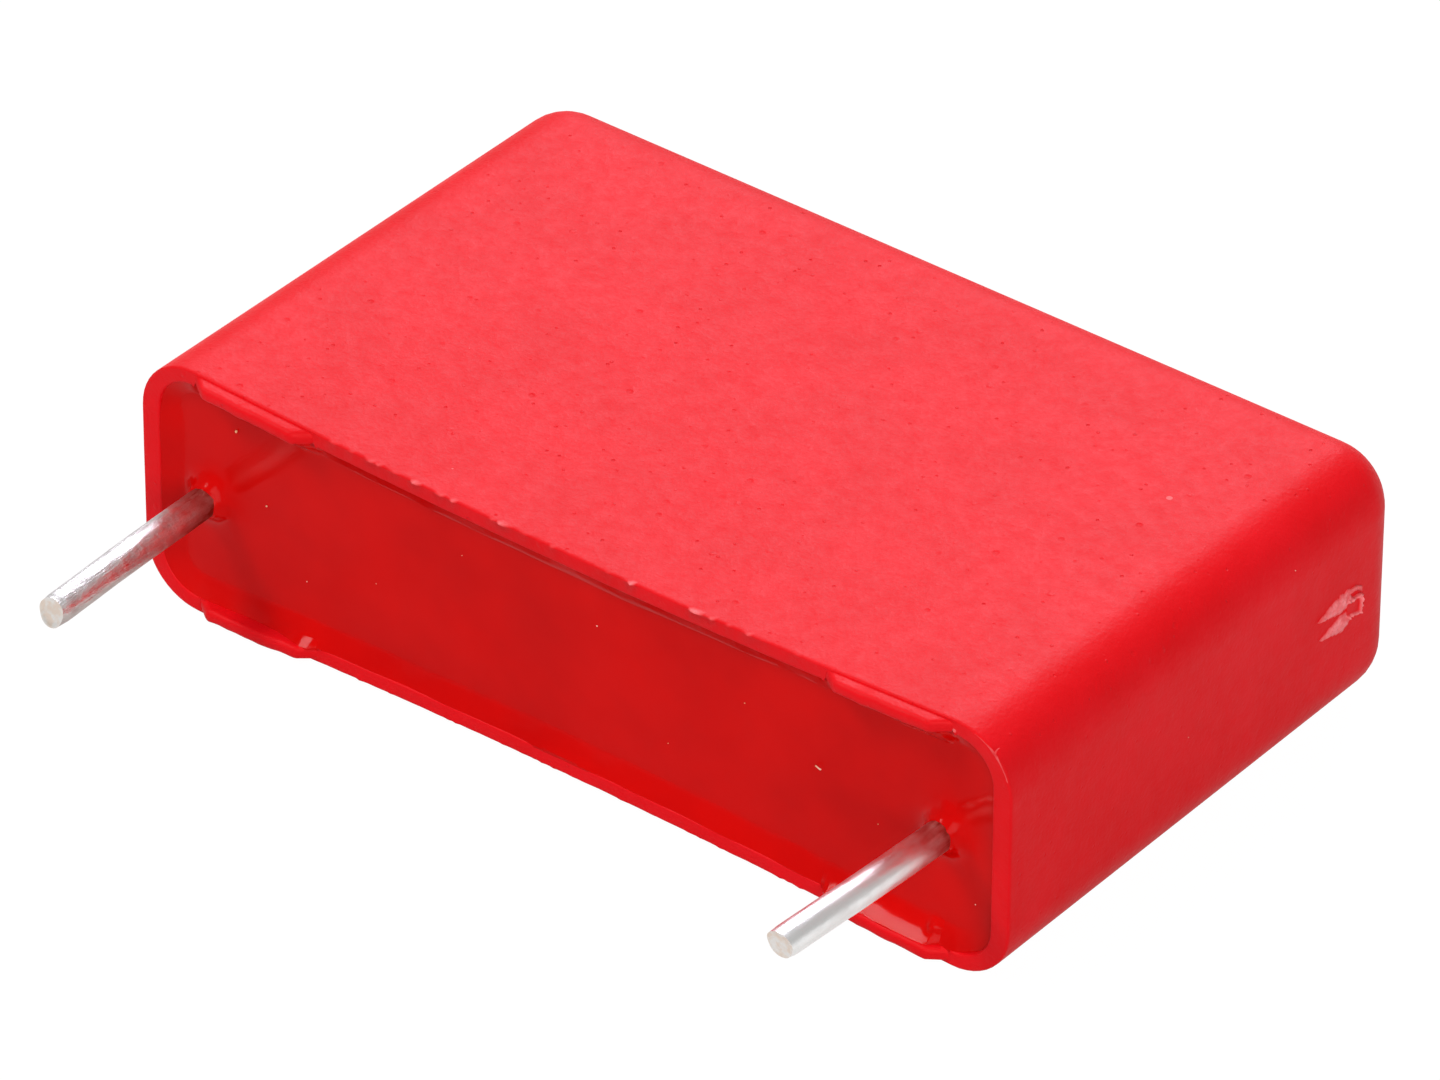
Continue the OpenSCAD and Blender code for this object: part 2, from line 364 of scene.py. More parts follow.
def make_resin(material, wires):
    """The cured surface of the fill: it climbs the walls, the feet and the wires, and rolls a little."""
    bm = bmesh.new()
    half_len = HALF_LEN - END_WALL
    half_thick = HALF_THICK - SIDE_WALL
    bmesh.ops.create_cube(bm, size=1)
    bmesh.ops.scale(bm, vec=(2 * half_len, 1 * MM, 2 * half_thick), verts=bm.verts)
    bmesh.ops.translate(bm, vec=(0, RESIN_Y, MID_Z), verts=bm.verts)
    upright = [e for e in bm.edges if abs(e.verts[0].co.y - e.verts[1].co.y) > 0.5 * MM]
    bmesh.ops.bevel(
        bm, geom=upright, offset=CORNER_R - END_WALL, offset_type="OFFSET", segments=12,
        profile=0.5, affect="EDGES", material=-1, clamp_overlap=False,
    )
    bm.normal_update()
    bmesh.ops.delete(bm, geom=[f for f in bm.faces if f.normal.y > -0.9], context="FACES")
    cut_at(bm, 0, spread(-11.4 * MM, 11.4 * MM, 0.4 * MM))
    for v in bm.verts:
        away = outward(v.co)
        if abs(away.z) > 0.9:
            v.co.z -= math.copysign(sink_at(v.co.x, 0.3 * MM), away.z)
        v.co += away * 0.04 * MM
    bmesh.ops.dissolve_limit(
        bm, angle_limit=0.001, verts=[], edges=[e for e in bm.edges if not e.is_boundary],
    )
    for width in [0.045] * 17:
        middle = max(bm.faces, key=lambda f: f.calc_area())
        bmesh.ops.inset_region(
            bm, faces=[middle], thickness=width * MM, use_even_offset=True, use_boundary=True,
        )
    middle = max(bm.faces, key=lambda f: f.calc_area())
    stops_x = spread(-12 * MM, 12 * MM, 0.16 * MM)
    stops_z = spread(MID_Z - 2.4 * MM, MID_Z + 2.4 * MM, 0.3 * MM)
    for root, radius in wires:
        for ring in (0.35, 0.5, 0.55, 0.6, 0.66, 0.73, 0.82, 0.95):
            stops_x += [root.x - ring * 2 * radius, root.x + ring * 2 * radius]
    for ring in spread(-1.05, 1.05, 0.07):
        stops_z.append(MID_Z + ring * MM)
    cut_at(bm, 0, sorted(stops_x))
    cut_at(bm, 2, sorted(stops_z))
    for v in bm.verts:
        v.co.y = RESIN_Y - resin_climb(v.co.x, v.co.z, wires)
    top = bm.faces[:]
    skirt = bmesh.ops.extrude_edge_only(bm, edges=[e for e in bm.edges if e.is_boundary])["geom"]
    for v in (g for g in skirt if isinstance(g, bmesh.types.BMVert)):
        v.co.y = RESIN_Y + 0.25 * MM
    bmesh.ops.contextual_create(bm, geom=[e for e in bm.edges if e.is_boundary])
    for f in top:
        f.smooth = True
    for e in bm.edges:
        middle = (e.verts[0].co + e.verts[1].co) / 2
        near_wall = wall_gap(middle.x, middle.z) < 0.65 * MM
        near_wire = any(math.hypot(middle.x - root.x, middle.z - root.z) < 1.3 * MM for root, _ in wires)
        if near_wall and not near_wire and e.is_manifold and e.calc_face_angle() > math.radians(11):
            e.smooth = False
    resin = finish_piece("resin_surface", bm, material)
    return resin


def fillet(rise, reach, gap):
    """Height of a concave climb at a distance from what it climbs."""
    return rise * max(0, 1 - max(0, gap) / reach) ** 2


def slope_up(rise, reach, gap, soft=0.014):
    """Height of a straight climb that ends in a soft crease."""
    plain = rise * (1 - max(0, gap) / reach)
    return (plain + math.sqrt(plain * plain + soft * soft)) / 2


def drawn_up(low, flat, gap, steep=1.33, reach=0.45 * MM):
    """Height of a climb that is steep and straight close to a foot, and concave further out."""
    if gap < flat * MM:
        return low + steep * (flat - gap / MM)
    return fillet(low, reach, gap - flat * MM)


def resin_climb(x, z, wires):
    """How far the resin stands out of its plain level at a place."""
    gap = max(0, wall_gap(x, z))
    lower, left = z < MID_Z, x < 0
    uneven = drift(x, z, 7, 1.3 * MM)
    foot_top = 0.35 * min(1, max(0, min(abs(x) - FOOT_NEAR, FOOT_FAR - abs(x)) / FOOT_SLOPE))
    upper_wall = smoothstep(MID_Z + 1.6 * MM, MID_Z + 2.6 * MM, z)
    right_wall = smoothstep(FLAT_HALF - 0.2 * MM, FLAT_HALF + 0.5 * MM, x)
    reach = 0.57 + 0.04 * uneven - 0.17 * upper_wall
    slope = 0.42 + 0.05 * uneven * (1 - upper_wall) + 0.04 * upper_wall * (1 - right_wall) - 0.28 * right_wall
    on_wall = slope_up(slope * reach, reach * MM, gap, 0.014 - 0.012 * upper_wall + 0.02 * right_wall)
    if lower:
        on_wall += fillet(0.08, 0.25 * MM, gap) * math.exp(-((x / MM) / 1.1) ** 2)
    climb = on_wall
    if abs(z - MID_Z) > 1 * MM:
        wobble = drift(x, z, 4, 0.6 * MM)
        if lower:
            past = max(0, abs(x) - 10.95 * MM, 7.95 * MM - abs(x))
            low = 0.29 - (0.12 * smoothstep(-8.95 * MM, -7.8 * MM, x) if left else 0)
            flat = 0.19 + 0.03 * wobble
            if left:
                flat *= 1 - smoothstep(8.1 * MM, 9.1 * MM, -x)
                low -= 0.1 * smoothstep(8.9 * MM, 9.8 * MM, -x)
            on_foot = drawn_up(low, flat, math.hypot(past, gap))
            blend = 14
        else:
            past = max(0, abs(x) - 11.1 * MM, 8.1 * MM - abs(x))
            on_foot = slope_up(0.42 + 0.05 * wobble, (0.48 + 0.1 * wobble) * MM, math.hypot(past, gap), 0.006)
            blend = 5
        climb = (on_wall ** blend + on_foot ** blend) ** (1 / blend)
    roof = 0.27 + foot_top + 0.6 * gap / MM
    if lower:
        roof += 0.12 * smoothstep(7.4 * MM, 7.8 * MM, abs(x))
    climb = min(climb, roof)
    for root, radius in wires:
        away = math.hypot(x - root.x, z - root.z) - radius
        climb += 0.42 * math.exp(-max(0, away) / (0.19 * MM)) * (1 + 0.3 * drift(x, z, 2, 0.3 * MM))
        climb += 0.02 * math.exp(-max(0, away) / (0.7 * MM))
    for at_x, at_z, rise, size in RESIN_LUMPS:
        away = math.hypot(x - at_x * MM, z - at_z * MM) / (size * MM)
        climb += rise * math.exp(-away * away)
    roll = 0.02 * drift(x, z, 1, 3.4 * MM) + 0.008 * drift(x, z, 5, 1.5 * MM) + 0.03
    return (climb + roll) * MM


# ---------------------------------------------------------------- wires

def wire_axes():
    """Root, direction and radius of each wire, from the record's pin mounts."""
    axes = {}
    for mount in frame["record"]["mounts"]:
        if mount["kind"] == "pin":
            axis = Vector(mount["axis"]).normalized()
            half = mount["dims"]["length_mm"] / 2 * MM
            middle = Vector(mount["pos_m"])
            axes[mount["name"]] = (
                middle - axis * half, axis, mount["dims"]["r_mm"] * MM, middle + axis * half,
            )
    return axes


def make_wire(node, name, materials, bend, cut_tilt):
    """A tinned wire: sheared end, light bow and scrapes outside, pressed flat inside the resin."""
    root, axis, radius, tip = wire_axes()[node]
    length = (tip - root).length
    tail = (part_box(node)[1].y - root.y) / -axis.y
    stops = [0.0, 0.02, 0.05, 0.1, 0.17] + [s / MM for s in spread(0.25 * MM, length, 0.11 * MM)]
    stops += [length / MM + s for s in (0.1, 0.25, 0.5)]
    stops += [length / MM + s / MM for s in spread(1 * MM, tail, 1 * MM)]
    turn = axis.to_track_quat("-Z", "X").to_matrix().to_4x4()
    bm = bmesh.new()
    bmesh.ops.create_circle(bm, segments=40, radius=radius)
    rim = bm.edges[:]
    face = bmesh.ops.contextual_create(bm, geom=rim)["faces"][0]
    for before, after in zip(stops, stops[1:]):
        rim, ring = grow(bm, rim)
        bmesh.ops.translate(bm, vec=(0, 0, (after - before) * MM), verts=ring)
    bmesh.ops.contextual_create(bm, geom=rim)
    for width, rise in ((0.045, 0.0), (0.03, 0.012), (0.12, 0.01), (0.1, -0.004)):
        bmesh.ops.inset_region(bm, faces=[face], thickness=width * MM, depth=rise * MM)
    for v in bm.verts:
        along = v.co.z
        around = math.atan2(v.co.y, v.co.x)
        flat = smoothstep(length, length + 0.3 * MM, along)
        v.co.x *= 1 - 0.4 * flat
        v.co.y *= 1 + 0.5 * flat
        scrape = drift(math.cos(around) * 2.2, math.sin(around) * 2.2, along / (1.3 * MM), 1)
        dent = drift(math.cos(around) * 1.1 + 5, math.sin(around) * 1.1, along / (0.5 * MM), 1)
        shrink = 1 - (0.02 * max(0, scrape) + 0.03 * max(0, dent - 0.25)) * (1 - flat)
        pinch = 1 - smoothstep(0, 0.3 * MM, along)
        v.co.x *= shrink * (1 - 0.05 * pinch)
        v.co.y *= shrink * (1 - 0.13 * pinch * (0.6 + 0.4 * math.cos(3 * around + bend * 9)))
        bow = bend * MM * math.sin(math.pi * min(1, along / length)) ** 2
        v.co.x += bow
        v.co.z += v.co.x * cut_tilt * pinch
    smooth_shade(bm, 40)
    bmesh.ops.recalc_face_normals(bm, faces=bm.faces)
    for f in bm.faces:
        if f.normal.z < -0.5 and f.calc_center_median().z < 0.12 * MM:
            f.material_index = 1
    bmesh.ops.transform(bm, matrix=Matrix.Translation(tip) @ turn, verts=bm.verts)
    wire = finish_piece(name, bm, materials[0])
    wire.data.materials.append(materials[1])
    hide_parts(node)
    return wire


# ---------------------------------------------------------------- gate scar and burr

def tongue(y, z, start, end, wide):
    """Share of the way across a tapering tongue of smeared plastic, 1 on its middle line, 0 outside."""
    ahead = end - start
    along = max(0.0, min(1.0, (Vector((y, z)) - start).dot(ahead) / ahead.length_squared))
    off = (Vector((y, z)) - start - ahead * along).length
    half = wide / 2 * (1 - along) ** 0.8 * (0.75 + 0.25 * min(1, along * 6))
    half *= 1 + 0.3 * drift(y, z, 3, 0.2) + 0.2 * drift(y, z, 7, 0.07)
    return max(0.0, 1 - off / max(half, 1e-4))


def scar_height(y, z):
    """Height of the gate scar over the end wall and how pale it is, at a place in millimetres."""
    height, pale = -0.05, 0.0
    for start, end, wide, thick in GATE_TONGUES:
        share = tongue(y, z, start, end, wide)
        if share > 0:
            rise = thick * min(1, share * 1.5) * (1 + 0.5 * drift(y, z, 1, 0.1))
            if rise > height:
                height, pale = rise, (0.25 + 0.75 * min(1, share * 2.5)) * (0.72 + 0.5 * drift(y, z, 5, 0.2))
    skew = 0.16 * (y - GATE_AT[0])
    across, up = (y - GATE_AT[0]) / 0.31, (z - GATE_AT[1] + skew) / 0.27
    across += 0.12 * drift(y, z, 9, 0.2)
    up += 0.12 * drift(y, z, 6, 0.2)
    reach = max(abs(across), abs(up))
    if reach < 1:
        height, pale = 0.03, 0.0
        lip = smoothstep(0.6, 0.8, max(across, abs(up)))
        if lip > 0:
            tooth = 0.55 + 0.6 * drift(y, z, 2, 0.08)
            height += 0.115 * lip * max(0.15, min(1, tooth))
            pale = max(pale, lip * (0.55 + 0.5 * tooth))
    ring = math.hypot(y - GATE_AT[0], z - GATE_AT[1] + skew)
    if z - GATE_AT[1] > 0.25 and 0.43 < ring < 0.56 and -0.4 < y - GATE_AT[0] < 0.3:
        height, pale = 0.045 * (1 + 0.5 * drift(y, z, 4, 0.1)), 0.45
    return height, pale


def make_gate_scar(material):
    """The torn-off moulding gate: a low stub with ragged lips, and tongues smeared along the wall."""
    bm = bmesh.new()
    strain = strain_layer(bm)
    low, high = Vector((7.4, 2.8)), Vector((9.45, 4.3))
    step = 0.025
    span = high - low
    bmesh.ops.create_grid(bm, x_segments=round(span.x / step), y_segments=round(span.y / step), size=0.5)
    for v in bm.verts:
        y, z = low.x + (v.co.x + 0.5) * span.x, low.y + (v.co.y + 0.5) * span.y
        height, pale = scar_height(y, z)
        v[strain] = min(1, pale)
        wall_x = HALF_LEN - min(y * MM - RIM_Y, CASE_H - EDGE_R) * DRAFT
        v.co = Vector((wall_x + height * MM, y * MM, z * MM))
    skirt, corners = grow(bm, [e for e in bm.edges if e.is_boundary])
    for v in corners:
        v.co.x = HALF_LEN - 0.4 * MM
    bmesh.ops.contextual_create(bm, geom=skirt)
    smooth_shade(bm, 50)
    scar = finish_piece("gate_scar", bm, material)
    return scar


def make_burr(material):
    """A whitened sliver of flash that stands off the upper right corner of the rim, with one stray thread."""
    bm = bmesh.new()
    strands = []
    centre = Vector((FLAT_HALF, 0, MID_Z + HALF_THICK - CORNER_R))
    sliver = []
    for step in range(33):
        share = step / 32
        angle = math.radians(70 - 50 * share)
        fat = math.exp(-((share - 0.42) / 0.16) ** 2) * (1 + 0.5 * drift(share, 0, 0, 0.09))
        reach = CORNER_R + (0.035 * fat - 0.02 + 0.012 * drift(share, 2, 0, 0.1)) * MM
        sliver.append((
            centre + Vector((math.cos(angle) * reach, RIM_Y - 0.01 * MM, math.sin(angle) * reach)),
            (0.01 + 0.012 * math.sin(math.pi * share) + 0.04 * max(0, fat)) * MM,
        ))
    strands.append(sliver)
    start = sliver[14][0]
    strands.append([
        (start + Vector((0.06 + 0.1 * s * s, -0.02 + 0.02 * s, 0.21 * s)) * MM, (0.03 - 0.016 * s) * MM)
        for s in (0, 0.3, 0.6, 0.85, 1)
    ])
    for strand in strands:
        ring = bmesh.ops.create_circle(bm, segments=8, radius=1)["verts"]
        rim = list({e for v in ring for e in v.link_edges})
        bmesh.ops.contextual_create(bm, geom=rim)
        last = Matrix.Identity(4)
        for i, (place, radius) in enumerate(strand):
            ahead = strand[min(i + 1, len(strand) - 1)][0] - strand[max(i - 1, 0)][0]
            turn = ahead.to_track_quat("Z", "Y").to_matrix().to_4x4()
            if i:
                rim, ring = grow(bm, rim)
            shape = [last.inverted() @ v.co for v in ring]
            last = Matrix.Translation(place) @ turn @ Matrix.Diagonal((radius, radius * 0.55, radius, 1))
            for v, corner in zip(ring, shape):
                v.co = last @ corner
        bmesh.ops.contextual_create(bm, geom=rim)
    smooth_shade(bm, 60)
    strain = strain_layer(bm)
    for v in bm.verts:
        v[strain] = 0.3 + 0.25 * drift(v.co.x, v.co.y, v.co.z, 0.12 * MM)
    burr = finish_piece("rim_burr", bm, material)
    return burr


def make_dust(material):
    """A few crumbs and one fibre that lie on the resin and the case."""
    bm = bmesh.new()
    for x, y, z, size in DUST:
        place = Vector((x, y, z)) * MM
        for v in bmesh.ops.create_icosphere(bm, subdivisions=2, radius=size * MM)["verts"]:
            v.co *= 1 + 0.45 * drift(v.co.x, v.co.y, v.co.z + x * size * MM, size * MM)
            v.co += place
    last, rim = None, None
    for step in range(13):
        share = step / 12
        place = Vector((
            7.34 + 0.17 * share, -4.6 - 0.05 * math.sin(3 * share), 3.76 + 0.04 * math.sin(4 * share),
        )) * MM
        if rim is None:
            ring = bmesh.ops.create_circle(bm, segments=6, radius=0.02 * MM)["verts"]
            bmesh.ops.rotate(bm, verts=ring, matrix=Matrix.Rotation(math.pi / 2, 3, "Y"))
            bmesh.ops.translate(bm, verts=ring, vec=place)
            rim = list({e for v in ring for e in v.link_edges})
            bmesh.ops.contextual_create(bm, geom=rim)
        else:
            rim, ring = grow(bm, rim)
            bmesh.ops.translate(bm, verts=ring, vec=place - last)
        last = place
    bmesh.ops.contextual_create(bm, geom=rim)
    smooth_shade(bm, 60)
    dust = finish_piece("dust", bm, material)
    return dust


# ---------------------------------------------------------------- materials

def new_node(tree, kind, inputs=None, **settings):
    node = tree.nodes.new(kind)
    for name, value in settings.items():
        setattr(node, name, value)
    for name, value in (inputs or {}).items():
        if isinstance(value, bpy.types.NodeSocket):
            tree.links.new(value, node.inputs[name])
        else:
            node.inputs[name].default_value = value
    return node


def maths(tree, operation, first, second):
    """Output of one sum on two values or outputs."""
    return new_node(tree, "ShaderNodeMath", {0: first, 1: second}, operation=operation).outputs[0]


def new_group(name, takes, gives):
    """An empty shader node group with named inputs and outputs."""
    group = bpy.data.node_groups.new(name, "ShaderNodeTree")
    for label, kind, value in takes:
        socket = group.interface.new_socket(label, in_out="INPUT", socket_type=kind)
        if value is not None:
            socket.default_value = value
    for label, kind in gives:
        group.interface.new_socket(label, in_out="OUTPUT", socket_type=kind)
    return group, group.nodes.new("NodeGroupInput"), group.nodes.new("NodeGroupOutput")


def grain_group():
    """Fine matt texture of a spark-eroded mould, as a height: close grain with scattered small pits."""
    group, given, out = new_group(
        "moulded grain",
        [("Place", "NodeSocketVector", None), ("Grain size", "NodeSocketFloat", 9000.0),
         ("Pits", "NodeSocketFloat", 1.6)],
        [("Height", "NodeSocketFloat"), ("Cloud", "NodeSocketFloat")],
    )
    place = given.outputs["Place"]
    fine = new_node(group, "ShaderNodeTexNoise", {
        "Vector": place, "Scale": given.outputs["Grain size"], "Detail": 2.0, "Roughness": 0.6,
    }).outputs[0]
    coarse = maths(group, "MULTIPLY", given.outputs["Grain size"], 0.28)
    swell = new_node(group, "ShaderNodeTexNoise", {
        "Vector": place, "Scale": coarse, "Detail": 1.0,
    }).outputs[0]
    height = maths(group, "ADD", swell, fine)
    for share, size in ((0.3, 0.13), (0.12, 0.11)):
        spacing = maths(group, "MULTIPLY", given.outputs["Grain size"], share)
        cells = new_node(group, "ShaderNodeTexVoronoi", {"Vector": place, "Scale": spacing})
        pit = ramp(group, cells.outputs["Distance"], size * 0.4, size, 1.0, 0.0)
        apart = new_node(group, "ShaderNodeSeparateColor", {"Color": cells.outputs["Color"]})
        signed = ramp(group, apart.outputs[0], 0.0, 1.0, -0.7, 1.0)
        deep = maths(group, "MULTIPLY", maths(group, "MULTIPLY", pit, signed), given.outputs["Pits"])
        height = maths(group, "SUBTRACT", height, deep)
    cloud = new_node(group, "ShaderNodeTexNoise", {
        "Vector": place, "Scale": 420.0, "Detail": 4.0, "Roughness": 0.6,
    })
    group.links.new(height, out.inputs["Height"])
    group.links.new(cloud.outputs[0], out.inputs["Cloud"])
    return group


def specks_group():
    """Scattered dust specks, as a mask: only a share of the cells hold one, each with its own size."""
    group, given, out = new_group(
        "dust specks",
        [("Place", "NodeSocketVector", None), ("Spacing", "NodeSocketFloat", 500.0),
         ("Size", "NodeSocketFloat", 0.05), ("Share", "NodeSocketFloat", 0.3)],
        [("Mask", "NodeSocketFloat")],
    )
    cells = new_node(group, "ShaderNodeTexVoronoi", {
        "Vector": given.outputs["Place"], "Scale": given.outputs["Spacing"],
    })
    apart = new_node(group, "ShaderNodeSeparateColor", {"Color": cells.outputs["Color"]})
    chosen = maths(group, "LESS_THAN", apart.outputs[0], given.outputs["Share"])
    reach = maths(group, "MULTIPLY", apart.outputs[1], given.outputs["Size"])
    spot = maths(group, "LESS_THAN", cells.outputs["Distance"], reach)
    group.links.new(maths(group, "MULTIPLY", spot, chosen), out.inputs["Mask"])
    return group


def new_material(name, colour, **plain):
    material = bpy.data.materials.new(name)
    material.use_nodes = True
    tree = material.node_tree
    shader = tree.nodes["Principled BSDF"]
    shader.inputs["Base Color"].default_value = (*colour, 1)
    for label, value in plain.items():
        shader.inputs[label.replace("_", " ")].default_value = value
    place = new_node(tree, "ShaderNodeTexCoord").outputs["Object"]
    return material, tree, shader, place


def mix_colours(tree, mask, first, second):
    node = new_node(tree, "ShaderNodeMix", data_type="RGBA")
    for socket, value in ((node.inputs[0], mask), (node.inputs[6], first), (node.inputs[7], second)):
        if isinstance(value, bpy.types.NodeSocket):
            tree.links.new(value, socket)
        elif isinstance(value, (int, float)):
            socket.default_value = value
        else:
            socket.default_value = (*value, 1)
    return node.outputs[2]


def ramp(tree, value, low, high, to_low=0.0, to_high=1.0):
    return new_node(tree, "ShaderNodeMapRange", {
        "Value": value, "From Min": low, "From Max": high, "To Min": to_low, "To Max": to_high,
    }).outputs[0]


def bump(tree, shader, height, depth, strength=1.0):
    node = new_node(tree, "ShaderNodeBump", {"Height": height, "Distance": depth, "Strength": strength})
    tree.links.new(node.outputs[0], shader.inputs["Normal"])


def red_plastic(name, grain, specks, roughness, depth):
    """Moulded red plastic that pales where it has been torn or drawn thin."""
    material, tree, shader, place = new_material(
        name, (0.76, 0.0035, 0.008), Roughness=roughness, IOR=1.5, Specular_IOR_Level=0.12,
    )
    texture = new_node(tree, "ShaderNodeGroup", node_tree=grain)
    tree.links.new(place, texture.inputs["Place"])
    dust = new_node(tree, "ShaderNodeGroup", node_tree=specks)
    tree.links.new(place, dust.inputs["Place"])
    dust.inputs["Spacing"].default_value = 700.0
    dust.inputs["Size"].default_value = 0.06
    dust.inputs["Share"].default_value = 0.1
    cloud = ramp(tree, texture.outputs["Cloud"], 0.35, 0.65)
    body = mix_colours(tree, cloud, (0.74, 0.0025, 0.006), (0.79, 0.0045, 0.01))
    dusty = mix_colours(tree, dust.outputs["Mask"], body, (0.86, 0.12, 0.12))
    strain = new_node(tree, "ShaderNodeAttribute", attribute_name="strain").outputs["Fac"]
    wisps = new_node(tree, "ShaderNodeTexNoise", {
        "Vector": place, "Scale": 16000.0, "Detail": 3.0,
    }).outputs[0]
    pale = maths(tree, "MULTIPLY", strain, ramp(tree, wisps, 0.3, 0.7, 0.75, 1.2))
    torn = mix_colours(tree, pale, dusty, (1.0, 0.27, 0.28))
    tree.links.new(torn, shader.inputs["Base Color"])
    uneven = ramp(tree, texture.outputs["Height"], 0.6, 1.3, roughness + 0.05, roughness - 0.05)
    tree.links.new(uneven, shader.inputs["Roughness"])
    bump(tree, shader, texture.outputs["Height"], depth)
    return material


def dust_finish():
    material, tree, shader, place = new_material(
        "pale dust", (0.85, 0.6, 0.4), Roughness=0.6, Specular_IOR_Level=0.3,
    )
    mixed = new_node(tree, "ShaderNodeTexNoise", {
        "Vector": place, "Scale": 900.0, "Detail": 1.0,
    }).outputs[0]
    colour = mix_colours(tree, ramp(tree, mixed, 0.45, 0.55), (0.8, 0.42, 0.22), (0.9, 0.6, 0.5))
    tree.links.new(colour, shader.inputs["Base Color"])
    return material


def resin_gloss(specks):
    material, tree, shader, place = new_material(
        "red casting resin", (0.6, 0.001, 0.001), Roughness=0.07, IOR=1.5, Specular_IOR_Level=0.06,
    )
    slow = new_node(tree, "ShaderNodeTexNoise", {
        "Vector": place, "Scale": 260.0, "Detail": 3.0, "Roughness": 0.55,
    })
    cloud = ramp(tree, slow.outputs[0], 0.35, 0.65)
    body = mix_colours(tree, cloud, (0.56, 0.0012, 0.001), (0.66, 0.0018, 0.0012))
    dust = new_node(tree, "ShaderNodeGroup", node_tree=specks)
    tree.links.new(place, dust.inputs["Place"])
    dust.inputs["Spacing"].default_value = 620.0
    dust.inputs["Size"].default_value = 0.05
    dust.inputs["Share"].default_value = 0.2
    dusty = mix_colours(tree, dust.outputs["Mask"], body, (0.85, 0.25, 0.2))
    tree.links.new(dusty, shader.inputs["Base Color"])
    fine = new_node(tree, "ShaderNodeTexNoise", {"Vector": place, "Scale": 1500.0, "Detail": 2.0})
    tree.links.new(ramp(tree, fine.outputs[0], 0.3, 0.7, 0.07, 0.14), shader.inputs["Roughness"])
    bump(tree, shader, fine.outputs[0], 0.004 * MM)
    return material


def tinned(name, dull, bright, underside_shade, depth):
    """Bright tin over steel, drawn along its length, browner towards the resin, and with painted shade in
    brown on the side that faces down.
    """
    material, tree, shader, place = new_material(name, bright, Metallic=1.0, Roughness=0.3)
    along = new_node(tree, "ShaderNodeMapping", {"Vector": place, "Scale": (1.0, 0.14, 1.0)})
    streaks = new_node(tree, "ShaderNodeTexNoise", {
        "Vector": along.outputs[0], "Scale": 9000.0, "Detail": 4.0, "Roughness": 0.7,
    }).outputs[0]
    patches = new_node(tree, "ShaderNodeTexNoise", {
        "Vector": place, "Scale": 2200.0, "Detail": 4.0, "Roughness": 0.6,
    }).outputs[0]
    both = maths(tree, "ADD", streaks, patches)
    clean = mix_colours(tree, ramp(tree, both, 0.75, 1.2), dull, bright)
    apart = new_node(tree, "ShaderNodeSeparateXYZ", {"Vector": place}).outputs[1]
    near = ramp(tree, apart, RIM_Y - 1.5 * MM, RIM_Y + 0.1 * MM)
    facing = new_node(tree, "ShaderNodeSeparateXYZ", {
        "Vector": new_node(tree, "ShaderNodeNewGeometry").outputs["Normal"],
    }).outputs[2]
    # Painted shade: faces of the wire that point down are mixed towards brown, as far as the fourth argument
    # allows.
    painted_underside = ramp(tree, facing, 0.5, -0.6, 0.0, underside_shade)
    brown_and_shade = maths(tree, "ADD", near, painted_underside)
    broken = maths(tree, "MULTIPLY", brown_and_shade, ramp(tree, both, 0.7, 1.3, 0.5, 1.3))
    held = maths(tree, "MINIMUM", broken, 1.0)
    # This brown is both the browning near the resin and the painted shade on the underside.
    tree.links.new(mix_colours(tree, held, clean, (0.26, 0.13, 0.085)), shader.inputs["Base Color"])
    tree.links.new(ramp(tree, both, 0.7, 1.3, 0.45, 0.28), shader.inputs["Roughness"])
    bump(tree, shader, both, depth)
    return material


def cut_metal():
    material, tree, shader, place = new_material(
        "sheared wire end", (0.78, 0.7, 0.62), Metallic=1.0, Roughness=0.42,
    )
    smear = new_node(tree, "ShaderNodeTexNoise", {"Vector": place, "Scale": 5000.0, "Detail": 3.0})
    colour = mix_colours(tree, ramp(tree, smear.outputs[0], 0.4, 0.6), (0.82, 0.7, 0.6), (0.85, 0.82, 0.78))
    tree.links.new(colour, shader.inputs["Base Color"])
    bump(tree, shader, smear.outputs[0], 0.01 * MM)
    return material


def film_finish():
    material, tree, shader, place = new_material(
        "metallised film", (0.72, 0.73, 0.75), Metallic=0.9, Roughness=0.3,
    )
    layers = new_node(tree, "ShaderNodeTexWave", {
        "Vector": place, "Scale": 9000.0, "Distortion": 1.5, "Detail": 1.0,
    }, bands_direction="Z")
    colour = mix_colours(tree, layers.outputs[1], (0.55, 0.56, 0.58), (0.8, 0.81, 0.83))
    tree.links.new(colour, shader.inputs["Base Color"])
    return material


def spray_finish():
    material, tree, shader, place = new_material(
        "sprayed end metal", (0.42, 0.43, 0.44), Metallic=0.85, Roughness=0.7,
    )
    grains = new_node(tree, "ShaderNodeTexNoise", {"Vector": place, "Scale": 9000.0, "Detail": 5.0})
    patches = ramp(tree, grains.outputs[0], 0.35, 0.65)
    colour = mix_colours(tree, patches, (0.3, 0.3, 0.31), (0.55, 0.56, 0.57))
    tree.links.new(colour, shader.inputs["Base Color"])
    bump(tree, shader, grains.outputs[0], 0.05 * MM)
    return material


# ---------------------------------------------------------------- studio

def add_lamp(name, direction, size, distance, radiance, colour=(1, 1, 1)):
    """A square softbox of a given brightness that faces the part from one side."""
    lamp = bpy.data.lights.new(name, "AREA")
    lamp.shape = "SQUARE"
    lamp.size = size
    lamp.color = colour
    lamp.energy = radiance * math.pi * size * size
    holder = bpy.data.objects.new(name, lamp)
    away = Vector(direction).normalized()
    holder.location = away * distance
    holder.rotation_mode = "QUATERNION"
    holder.rotation_quaternion = (-away).to_track_quat("-Z", "Y")
    bpy.context.scene.collection.objects.link(holder)
    return holder


